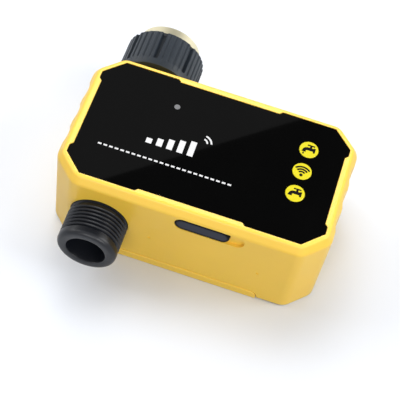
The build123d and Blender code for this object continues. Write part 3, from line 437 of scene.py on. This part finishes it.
# %% Inner finishes
inner_finishes = {
    "board_green": finish("board_green", (0.012, 0.13, 0.045), 0.3, tint=0.2, grain=500.0),
    "chip_black": finish("chip_black", (0.02, 0.02, 0.022), 0.5, tint=0.2, relief=0.06),
    "nylon_white": finish("nylon_white", (0.80, 0.78, 0.71), 0.4, tint=0.04),
    "tape_grey": finish("tape_grey", (0.22, 0.22, 0.23), 0.8, tint=0.15, relief=0.1),
    "lamp_white": finish("lamp_white", (0.82, 0.80, 0.66), 0.3, tint=0.04),
    "valve_plastic": finish("valve_plastic", (0.05, 0.055, 0.06), 0.45, tint=0.2, relief=0.08),
    "seat_white": finish("seat_white", (0.85, 0.85, 0.83), 0.3, tint=0.02),
    "cell_wrap": finish("cell_wrap", (0.05, 0.22, 0.42), 0.28, tint=0.06),
    "cradle_plastic": finish("cradle_plastic", (0.035, 0.035, 0.04), 0.5, tint=0.2),
    "lead_red": finish("lead_red", (0.5, 0.02, 0.015), 0.45, tint=0.08),
    "lead_grey": finish("lead_grey", (0.12, 0.12, 0.13), 0.45, tint=0.1),
}

# %% [markdown]
# ### The status light
# The little window is the end of a clear rod. Unlit, it looks dull grey, because one looks down
# the rod at the board. A milky, slightly transmissive plastic shows that.

# %% Light rod finish
clear_plastic = finish("clear_plastic", (0.26, 0.26, 0.27), 0.3, tint=0.05, relief=0.0)
clear_plastic.node_tree.nodes["Principled BSDF"].inputs["Transmission Weight"].default_value = 0.15

finishes = dict(
    inner_finishes,
    case_yellow=case_yellow,
    panel_black=panel_black,
    key_yellow=key_yellow,
    fitting_black=fitting_black,
    fitting_slate=fitting_slate,
    plug_rubber=plug_rubber,
    seal_rubber=seal_rubber,
    brass=brass,
    steel=steel,
    nickel=nickel,
    clear_plastic=clear_plastic,
)

# %% [markdown]
# ## Dressing the CAD nodes
# The record says which material slot each node takes. Giving the finishes the same names as the
# slots makes the dressing a single loop, and a missing name shows up at once.

# %% Finish every node
for piece in frame["record"]["subparts"]:
    mesh = nodes[piece["node"]].data
    mesh.materials.clear()
    mesh.materials.append(finishes[piece["material_slot"]])

# %% [markdown]
# ## Turned forms
# Both water fittings are turned round the line that the water takes, along Y. In bmesh a turned
# form is a closed profile of a few vertices that the spin operator sweeps through a full circle.
# The line's place comes from the CAD nodes, so nothing is placed by eye.

# %% The water line
nipple_low, nipple_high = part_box("outlet_nipple")
insert_low, insert_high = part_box("nut_insert")
water = Vector(((nipple_low.x + nipple_high.x) / 2, 0, (nipple_low.z + nipple_high.z) / 2))
outlet_radius = (nipple_high.x - nipple_low.x) / 2
insert_radius = (insert_high.x - insert_low.x) / 2
print("water line at x, z in mm:", round(water.x / mm, 2), round(water.z / mm, 2))


# %% Helpers for turned forms and for finished pieces
crease = math.radians(35)


def profile(bm, points):
    """A closed loop of edges from radius and Y in millimetres, beside the water line."""
    loop = [bm.verts.new((water.x + r * mm, y * mm, water.z)) for r, y in points]
    return loop, [bm.edges.new(pair) for pair in zip(loop, loop[1:] + loop[:1])]


def turned(points, steps=96):
    """A closed ring: the profile spun once round the water line."""
    bm = bmesh.new()
    loop, edges = profile(bm, points)
    bmesh.ops.spin(
        bm, geom=loop + edges, cent=water, axis=(0, 1, 0), angle=2 * math.pi, steps=steps, use_merge=True
    )
    bmesh.ops.recalc_face_normals(bm, faces=bm.faces)
    return bm


def as_object(bm, name, material):
    """Puts a bmesh into a named object with smooth faces and sharp edges."""
    mesh = bpy.data.meshes.new(name)
    bm.to_mesh(mesh)
    bm.free()
    mesh.materials.append(material)
    mesh.shade_smooth()
    mesh.set_sharp_from_angle(angle=crease)
    made = bpy.data.objects.new(name, mesh)
    scene.collection.objects.link(made)
    return made


def finished(made, body, replaced=()):
    """Makes a piece ride on its body and stand for the CAD nodes that it hides."""
    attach(made, body)
    if replaced:
        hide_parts(*replaced)
    print(made.name, "has", len(made.data.polygons), "faces and rides on", body)
    return made


# %% [markdown]
# ## Threads
# A pipe thread is a ridge that winds round a cylinder, here 14 turns to the inch. A drawn texture
# would vanish at the silhouette, so the ridge is real: the spin operator with a push along the
# axis at each step makes a helix. The ridge fades into the core over its first and last quarter
# turn, as a moulded thread does. A boolean union then makes one clean shell.


# %% Thread helper
thread_pitch = 1.814


def ridge(points, core, turns, steps_per_turn=60):
    """A winding ridge from a small profile, faded into a core radius at both ends."""
    bm = bmesh.new()
    loop, edges = profile(bm, points)
    steps = int(turns * steps_per_turn)
    bmesh.ops.spin(
        bm,
        geom=loop + edges,
        cent=water,
        axis=(0, 1, 0),
        dvec=(0, thread_pitch * mm / steps_per_turn, 0),
        angle=2 * math.pi * turns,
        steps=steps,
    )
    bm.verts.ensure_lookup_table()
    fade = steps_per_turn / 4
    for i, vert in enumerate(bm.verts):
        step = i // len(points)
        left = min(1.0, min(step, steps - step) / fade)
        arm = Vector((vert.co.x - water.x, 0, vert.co.z - water.z))
        radius = core * mm + (arm.length - core * mm) * left
        vert.co += arm.normalized() * (radius - arm.length)
    rim = [edge for edge in bm.edges if edge.is_boundary]
    bmesh.ops.holes_fill(bm, edges=rim, sides=0)
    bmesh.ops.recalc_face_normals(bm, faces=bm.faces)
    return bm


def united(core, added):
    """Joins a ridge to its core and drops the ridge's own object."""
    join = core.modifiers.new("join", "BOOLEAN")
    join.operation, join.solver, join.object = "UNION", "EXACT", added
    graph = bpy.context.evaluated_depsgraph_get()
    mesh = bpy.data.meshes.new_from_object(core.evaluated_get(graph))
    core.modifiers.clear()
    core.data = mesh
    bpy.data.objects.remove(added)
    mesh.shade_smooth()
    mesh.set_sharp_from_angle(angle=crease)
    return core


# %% [markdown]
# ## The outlet
# The black spigot has about seven thread ridges from the case outwards and then a smooth collar
# with a chamfered rim. Behind the wall it goes on as a plain neck with a groove for its seal.

# %% Outlet with its thread
end_y, inner_y = nipple_low.y / mm, nipple_high.y / mm
crest, root = outlet_radius / mm, 12.06
bore, shank, socket = 8.6, 12.9, 11.0
collar_y, wall_y = end_y + 3.7, end_y + 16.7
shoulder_y, groove_y = -20.0, (-18.55, -17.45)
groove_floor = socket - 1.0


def rounded_edge(radius, start, inset, rise, steps=6):
    """Profile points of a quarter ellipse from a flat end up to the outer radius."""
    turns = [math.pi / 2 * step / steps for step in range(1, steps + 1)]
    return [(radius - inset * (1 - math.sin(t)), start + rise * (1 - math.cos(t))) for t in turns]


outlet_points = [
    (bore, end_y + 0.6),
    (bore + 0.2, end_y + 0.15),
    (bore + 0.55, end_y),
    (crest - 1.9, end_y),
    *rounded_edge(crest, end_y, 1.9, 2.2),
    (crest, collar_y),
    (root, collar_y + 0.7),
    (root, wall_y),
    (shank, wall_y + 0.5),
    (shank, shoulder_y),
    (socket, shoulder_y),
    (socket, groove_y[0]),
    (groove_floor, groove_y[0]),
    (groove_floor, groove_y[1]),
    (socket, groove_y[1]),
    (socket, inner_y),
    (bore, inner_y),
]
outlet = as_object(turned(outlet_points), "threaded_outlet", fitting_black)
tooth_points = [
    (root - 0.15, collar_y - 0.2),
    (crest - 0.12, collar_y + 0.42),
    (crest, collar_y + 0.56),
    (crest, collar_y + 0.72),
    (crest - 0.12, collar_y + 0.86),
    (root - 0.15, collar_y + 1.48),
]
outlet_turns = (wall_y - collar_y - 1.0) / thread_pitch
outlet_ridge = as_object(ridge(tooth_points, root - 0.15, outlet_turns), "outlet_ridge", fitting_black)
finished(united(outlet, outlet_ridge), "case", ["outlet_nipple"])

# %% [markdown]
# ## The swivel nut
# The nut is moulded with eight lobes of five ribs, so that wet fingers can turn it. The gaps in a
# lobe are shallow and the one between lobes is deep, and all of them widen a little towards the
# open end, where the mould was drawn off. A circle with many vertices is drawn in wherever a gap
# is, and extruding that outline along the water line, one ring at a time, gives soft ribs that
# run out at the tap end and stop at a smooth collar near the case.

# %% Ribbed nut
nut_low, nut_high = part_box("inlet_nut")
nut_start, nut_end = nut_low.y / mm, nut_high.y / mm
nut_crown = (nut_high.x - nut_low.x) / 2 / mm
lobes, ribs_per_lobe = 8, 5
gaps = lobes * ribs_per_lobe
nut_turn = -5.3
collar_end = nut_start + 3.5
deep_gap, shallow_gap = (1.7, 2.0), (0.85, 0.5)
gap_flank, rib_crown, mould_draft = 0.5, 0.09, 0.4
steps_per_gap = 22
nut_bore, sleeve_seat, washer_seat = 11.8, 14.4, 13.6
ledge_y, seat_y = nut_start + 3.0, nut_start + 6.0


def gap_depth(turn, widening):
    """How far the nut's outline lies inside its crown at an angle from the top, in degrees."""
    spot = (turn - nut_turn) / (360 / gaps)
    number = round(spot)
    half_rib = math.pi / gaps * nut_crown
    off = abs(spot - number) * 2 * half_rib
    width, depth = deep_gap if number % ribs_per_lobe == 0 else shallow_gap
    edge = min(1.0, max(0.0, (width * widening / 2 + gap_flank / 2 - off) / gap_flank))
    crown_fall = rib_crown * (off / half_rib - 1) ** 2
    return crown_fall + depth * edge * edge * (3 - 2 * edge)


def shaped(loop, y, crown, share):
    """Moves a loop of vertices to a distance along the water line and to its outline there."""
    widening = 1 + mould_draft * max(0.0, (y - collar_end) / (nut_end - collar_end))
    for vert in loop:
        turn = math.atan2(vert.co.x - water.x, vert.co.z - water.z)
        radius = min(crown, nut_crown - share * gap_depth(math.degrees(turn), widening))
        vert.co = (water.x + radius * mm * math.sin(turn), y * mm, water.z + radius * mm * math.cos(turn))


def next_ring(bm, edges):
    """Extrudes a loop of edges and returns the new loop."""
    made = bmesh.ops.extrude_edge_only(bm, edges=edges)["geom"]
    verts = [item for item in made if isinstance(item, bmesh.types.BMVert)]
    return verts, [item for item in made if isinstance(item, bmesh.types.BMEdge)]


bm = bmesh.new()
stand = Matrix.Translation((water.x, nut_low.y, water.z)) @ Matrix.Rotation(math.pi / 2, 4, "X")
ring = bmesh.ops.create_circle(bm, segments=gaps * steps_per_gap, radius=nut_crown * mm, matrix=stand)
ring_verts = ring["verts"]
ring_edges = list(bm.edges)
outline_rows = [
    (ledge_y, nut_bore, 0),
    (nut_start, nut_bore, 0),
    (nut_start, nut_crown - 0.75, 0),
    (nut_start + 0.12, nut_crown - 0.42, 0),
    (nut_start + 0.45, nut_crown - 0.2, 0),
    (collar_end - 0.1, nut_crown - 0.12, 0),
    (collar_end + 0.1, nut_crown, 0.4),
    (collar_end + 0.3, nut_crown, 0.85),
    (collar_end + 0.6, nut_crown, 1),
    ((collar_end + nut_end) / 2, nut_crown, 1),
    (nut_end - 0.7, nut_crown, 1),
    (nut_end - 0.2, nut_crown - 0.12, 0.6),
    (nut_end, nut_crown - 0.4, 0.45),
    (nut_end, sleeve_seat, 0),
    (seat_y, sleeve_seat, 0),
    (seat_y, washer_seat, 0),
    (ledge_y, washer_seat, 0),
]
first_ring = list(ring_edges)
for number, row in enumerate(outline_rows):
    if number:
        ring_verts, ring_edges = next_ring(bm, ring_edges)
    shaped(ring_verts, *row)
bmesh.ops.bridge_loops(bm, edges=first_ring + ring_edges)
bmesh.ops.recalc_face_normals(bm, faces=bm.faces)
nut = as_object(bm, "ribbed_nut", fitting_slate)
finished(nut, "inlet_nut", ["inlet_nut"])

# %% [markdown]
# ## The brass insert
# The tap screws into a brass sleeve inside the nut. Its thread is the same one turned inside out:
# a ring with the thread's outer radius as its bore, and a ridge that stands inwards.

# %% Brass sleeve with its thread
sleeve_start, sleeve_end = insert_low.y / mm, insert_high.y / mm
sleeve, valley = insert_radius / mm, 13.25
pocket = 12.5
sleeve_points = [
    (pocket, sleeve_start),
    (pocket, sleeve_start + 3.2),
    (valley, sleeve_start + 3.7),
    (valley, sleeve_end - 0.7),
    (valley + 0.45, sleeve_end),
    (sleeve - 0.45, sleeve_end),
    (sleeve, sleeve_end - 0.45),
    (sleeve, sleeve_start),
]
insert = as_object(turned(sleeve_points), "brass_sleeve", brass)
inner_tooth = [
    (valley + 0.15, sleeve_start + 3.4),
    (root + 0.1, sleeve_start + 4.1),
    (root, sleeve_start + 4.24),
    (root, sleeve_start + 4.40),
    (root + 0.1, sleeve_start + 4.54),
    (valley + 0.15, sleeve_start + 5.24),
]
insert_turns = (sleeve_end - sleeve_start - 6.0) / thread_pitch
insert_ridge = as_object(ridge(inner_tooth, valley + 0.15, insert_turns), "insert_ridge", brass)
finished(united(insert, insert_ridge), "inlet_nut", ["nut_insert"])

# %% [markdown]
# ## The strainer
# A disc of wire gauze in the nut keeps grit out of the valve. Real gauze has hundreds of wires
# per disc; a grid with the Wireframe modifier makes its openings real with few faces each. A
# turned hoop holds the gauze and hides its cut edge.

# %% Wire gauze
filter_low, filter_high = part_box("inlet_filter")
filter_radius = (filter_high.x - filter_low.x) / 2
gauze_cells, gauze_margin, wire = 26, 1.4 * mm, 0.32 * mm
bm = bmesh.new()
bmesh.ops.create_grid(bm, x_segments=gauze_cells, y_segments=gauze_cells, size=filter_radius)
outside = [face for face in bm.faces if face.calc_center_median().length > filter_radius - gauze_margin]
bmesh.ops.delete(bm, geom=outside, context="FACES")
bmesh.ops.rotate(bm, verts=bm.verts, cent=(0, 0, 0), matrix=Matrix.Rotation(math.pi / 2, 3, "X"))
middle_y = (filter_low.y + filter_high.y) / 2 + 0.25 * mm
bmesh.ops.translate(bm, verts=bm.verts, vec=(water.x, middle_y, water.z))
gauze = as_object(bm, "strainer_gauze", steel)
wires = gauze.modifiers.new("wires", "WIREFRAME")
wires.thickness = wire
wires.use_boundary = True
graph = bpy.context.evaluated_depsgraph_get()
gauze_mesh = bpy.data.meshes.new_from_object(gauze.evaluated_get(graph))
gauze.modifiers.clear()
gauze.data = gauze_mesh
bm = bmesh.new()
bm.from_mesh(gauze_mesh)
bmesh.ops.remove_doubles(bm, verts=bm.verts, dist=0.001 * mm)
bmesh.ops.recalc_face_normals(bm, faces=bm.faces)
print("gauze edges that don't join two faces:", sum(len(edge.link_faces) != 2 for edge in bm.edges))
bm.to_mesh(gauze_mesh)
bm.free()
finished(gauze, "inlet_nut")

# %% Hoop of the strainer
hoop_start, hoop_end, hoop_width = filter_low.y / mm, filter_high.y / mm, 1.6
hoop_outer = filter_radius / mm
hoop_inner = hoop_outer - hoop_width
hoop_points = [
    (hoop_inner, hoop_start + 0.1),
    (hoop_inner + 0.1, hoop_start),
    (hoop_outer, hoop_start),
    (hoop_outer, hoop_end),
    (hoop_inner + 0.1, hoop_end),
    (hoop_inner, hoop_end - 0.1),
]
hoop = as_object(turned(hoop_points, 64), "strainer_hoop", steel)
finished(hoop, "inlet_nut", ["inlet_filter"])

# %% [markdown]
# ## Screw heads under the base
# Six pan head screws hold the base cover. A head is a cylinder with a bevelled edge, and its
# cross is cut by a boolean with two crossing wedges, as the driver leaves it in real steel.


# %% Cross head screws
head_radius, head_height, head_edge = 2.4 * mm, 1.7 * mm, 0.45 * mm
shank_radius, shank_taper = 1.5 * mm, 0.8


def cross_screw(name, x, y, low, high):
    """A screw that points up between two heights, with its head at the floor side."""
    bm = bmesh.new()
    bmesh.ops.create_cone(
        bm,
        cap_ends=True,
        segments=40,
        radius1=head_radius,
        radius2=head_radius,
        depth=head_height,
        matrix=Matrix.Translation((x, y, low + head_height / 2)),
    )
    rim = []
    for edge in bm.edges:
        slopes = [face.normal.z for face in edge.link_faces]
        at_floor = all(vert.co.z < low + 0.01 * mm for vert in edge.verts)
        if at_floor and len(slopes) == 2 and abs(slopes[0] - slopes[1]) > 0.5:
            rim.append(edge)
    bmesh.ops.bevel(bm, geom=rim, offset=head_edge, segments=4, profile=0.5, affect="EDGES", material=-1)
    length = high - low - head_height
    bmesh.ops.create_cone(
        bm,
        cap_ends=True,
        segments=24,
        radius1=shank_radius,
        radius2=shank_radius * shank_taper,
        depth=length,
        matrix=Matrix.Translation((x, y, low + head_height + length / 2)),
    )
    screw = as_object(bm, name, steel)
    bm = bmesh.new()
    for turn in (0, math.pi / 2):
        made = bmesh.ops.create_cube(bm, size=1.0)["verts"]
        bmesh.ops.scale(bm, verts=made, vec=(head_radius * 1.25, head_radius * 0.3, 1.0 * mm))
        deep = [v for v in made if v.co.z > 0]
        bmesh.ops.scale(bm, verts=deep, vec=(0.55, 0.8, 1.0))
        bmesh.ops.rotate(bm, verts=made, cent=(0, 0, 0), matrix=Matrix.Rotation(turn, 3, "Z"))
        bmesh.ops.translate(bm, verts=made, vec=(x, y, low + 0.3 * mm))
    cutter = as_object(bm, name + "_cross", steel)
    cut = screw.modifiers.new("cross", "BOOLEAN")
    cut.operation, cut.solver, cut.use_self, cut.object = "DIFFERENCE", "EXACT", True, cutter
    graph = bpy.context.evaluated_depsgraph_get()
    mesh = bpy.data.meshes.new_from_object(screw.evaluated_get(graph))
    screw.modifiers.clear()
    screw.data = mesh
    bpy.data.objects.remove(cutter)
    mesh.set_sharp_from_angle(angle=crease)
    return screw


def islands(node):
    """The centres of the separate solids of a node, from its upright boxes."""
    bm = bmesh.new()
    bm.from_mesh(nodes[node].data)
    bmesh.ops.remove_doubles(bm, verts=bm.verts, dist=0.001 * mm)
    left, centres = set(bm.verts), []
    while left:
        group, front = set(), [left.pop()]
        while front:
            vert = front.pop()
            group.add(vert)
            near = {e.other_vert(vert) for e in vert.link_edges} & left
            left -= near
            front += near
        xs, ys = [v.co.x for v in group], [v.co.y for v in group]
        centres.append(((min(xs) + max(xs)) / 2, (min(ys) + max(ys)) / 2))
    bm.free()
    return centres


screw_low, screw_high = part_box("cover_screws")
screw_places = sorted(islands("cover_screws"))
print("screw places in mm:", [(round(x / mm, 1), round(y / mm, 1)) for x, y in screw_places])
for number, (x, y) in enumerate(screw_places, 1):
    replaced = ["cover_screws"] if number == 1 else []
    screw = cross_screw(f"cover_screw_{number}", x, y, screw_low.z, screw_high.z)
    finished(screw, "case", replaced)

# %% [markdown]
# ## Printed marks
# The keys carry small black pictures: a running tap, radio arcs and a shut tap. They are pad
# printed, a few hundredths of a millimetre thick. Bars, discs and arcs are enough for them, made
# from grids, circles and a spin, then given their thickness by an extrusion.

# %% Marking helpers
ink, sunk = 0.03, 0.005 * mm


def bar(bm, x0, x1, y0, y1):
    """A flat bar between two corners, in millimetres."""
    made = bmesh.ops.create_grid(bm, x_segments=1, y_segments=1, size=0.5)["verts"]
    bmesh.ops.scale(bm, verts=made, vec=(x1 - x0, y1 - y0, 1))
    bmesh.ops.translate(bm, verts=made, vec=((x0 + x1) / 2, (y0 + y1) / 2, 0))


def disc(bm, x, y, radius, segments=28):
    """A flat disc."""
    place = Matrix.Translation((x, y, 0))
    bmesh.ops.create_circle(bm, cap_ends=True, segments=segments, radius=radius, matrix=place)


def arc(bm, x, y, radius, width, first, last, steps=20):
    """A flat band along an arc, between two angles in degrees."""
    turn = math.radians(first)
    ends = [
        bm.verts.new((x + r * math.cos(turn), y + r * math.sin(turn), 0))
        for r in (radius - width / 2, radius + width / 2)
    ]
    edge = bm.edges.new(ends)
    bmesh.ops.spin(
        bm, geom=[*ends, edge], cent=(x, y, 0), axis=(0, 0, 1), angle=math.radians(last - first), steps=steps
    )


def drop(bm, x, y, radius):
    """A water drop: a disc whose upper vertices are drawn up to a point."""
    place = Matrix.Translation((x, y, 0))
    made = bmesh.ops.create_circle(bm, cap_ends=True, segments=28, radius=radius, matrix=place)["verts"]
    for vert in made:
        rise = max(0.0, (vert.co.y - y) / radius)
        vert.co.x = x + (vert.co.x - x) * (1 - 0.55 * rise)
        vert.co.y += radius * 0.9 * rise**3


def printed(bm, name, centre, top, material):
    """Gives a flat mark its thickness and puts it on its surface."""
    sides = bmesh.ops.extrude_face_region(bm, geom=list(bm.faces))["geom"]
    lifted = [v for v in sides if isinstance(v, bmesh.types.BMVert)]
    bmesh.ops.translate(bm, verts=lifted, vec=(0, 0, ink))
    bmesh.ops.recalc_face_normals(bm, faces=bm.faces)
    bmesh.ops.scale(bm, verts=bm.verts, vec=(mm, mm, mm))
    bmesh.ops.translate(bm, verts=bm.verts, vec=(centre[0], centre[1], top - sunk))
    return as_object(bm, name, material)


tap_bars = {
    "collar": (1.95, 2.8, -1.3, 1.3),
    "body": (-0.6, 2.1, -0.55, 1.0),
    "stem": (0.15, 1.1, 0.9, 1.9),
    "handle": (-1.05, 2.25, 1.8, 2.5),
    "spout lip": (-2.95, -1.1, -1.7, -1.15),
}


def tap(bm, running):
    """A tap that faces left: straight bars, a bent spout and, if it runs, a drop."""
    for corners in tap_bars.values():
        bar(bm, *corners)
    arc(bm, -0.6, -1.2, 1.43, 1.5, 90, 180, 14)
    if running:
        drop(bm, -2.05, -2.55, 0.42)


# %% Marks on the keys
print_black = finish("print_black", (0.004, 0.004, 0.004), 0.6, tint=0.1, relief=0.03)
print_black.node_tree.nodes["Principled BSDF"].inputs["Specular IOR Level"].default_value = 0.15
print_white = finish("print_white", (0.86, 0.86, 0.86), 0.45, tint=0.03, relief=0.03)


def key_centre(node):
    """The middle of a key and the height of its top."""
    low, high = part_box(node)
    return ((low.x + high.x) / 2, (low.y + high.y) / 2), high.z


radio_foot, radio_radii, radio_width = -2.1, (1.75, 3.0, 4.25), 0.82
for name in ("open", "pair", "close"):
    centre, top = key_centre("button_" + name)
    bm = bmesh.new()
    if name == "pair":
        disc(bm, 0, radio_foot, 0.75)
        for radius in radio_radii:
            arc(bm, 0, radio_foot, radius, radio_width, 43, 137)
    else:
        tap(bm, name == "open")
    mark = printed(bm, "mark_" + name, centre, top, print_black)
    finished(mark, "button_" + name)

# %% [markdown]
# ## Marks on the panel
# The panel has white printing in two lines. Here it is kept general: a row of level bars with
# two arcs beside it, and below them a plain ruled line of short dashes.

# %% White marks
panel_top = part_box("front_panel")[1].z
bm = bmesh.new()
bars, bar_start, bar_step, bar_width = 5, -27.5, 4.6, 2.6
bar_foot, bar_top, bar_rise = -6.2, -3.6, 1.3
for step in range(bars):
    left = bar_start + step * bar_step
    bar(bm, left, left + bar_width, bar_foot, bar_top + step * bar_rise)
for radius in (2.2, 4.0):
    arc(bm, -4.6, 2.3, radius, 0.75, 10, 80)
dashes, dash_start, dash_step, dash_length = 24, -46.0, 2.5, 1.6
dash_foot, dash_top = -14.3, -13.5
for step in range(dashes):
    left = dash_start + step * dash_step
    bar(bm, left, left + dash_length, dash_foot, dash_top)
marks = printed(bm, "panel_marks", (0, 0), panel_top, print_white)
finished(marks, "case")
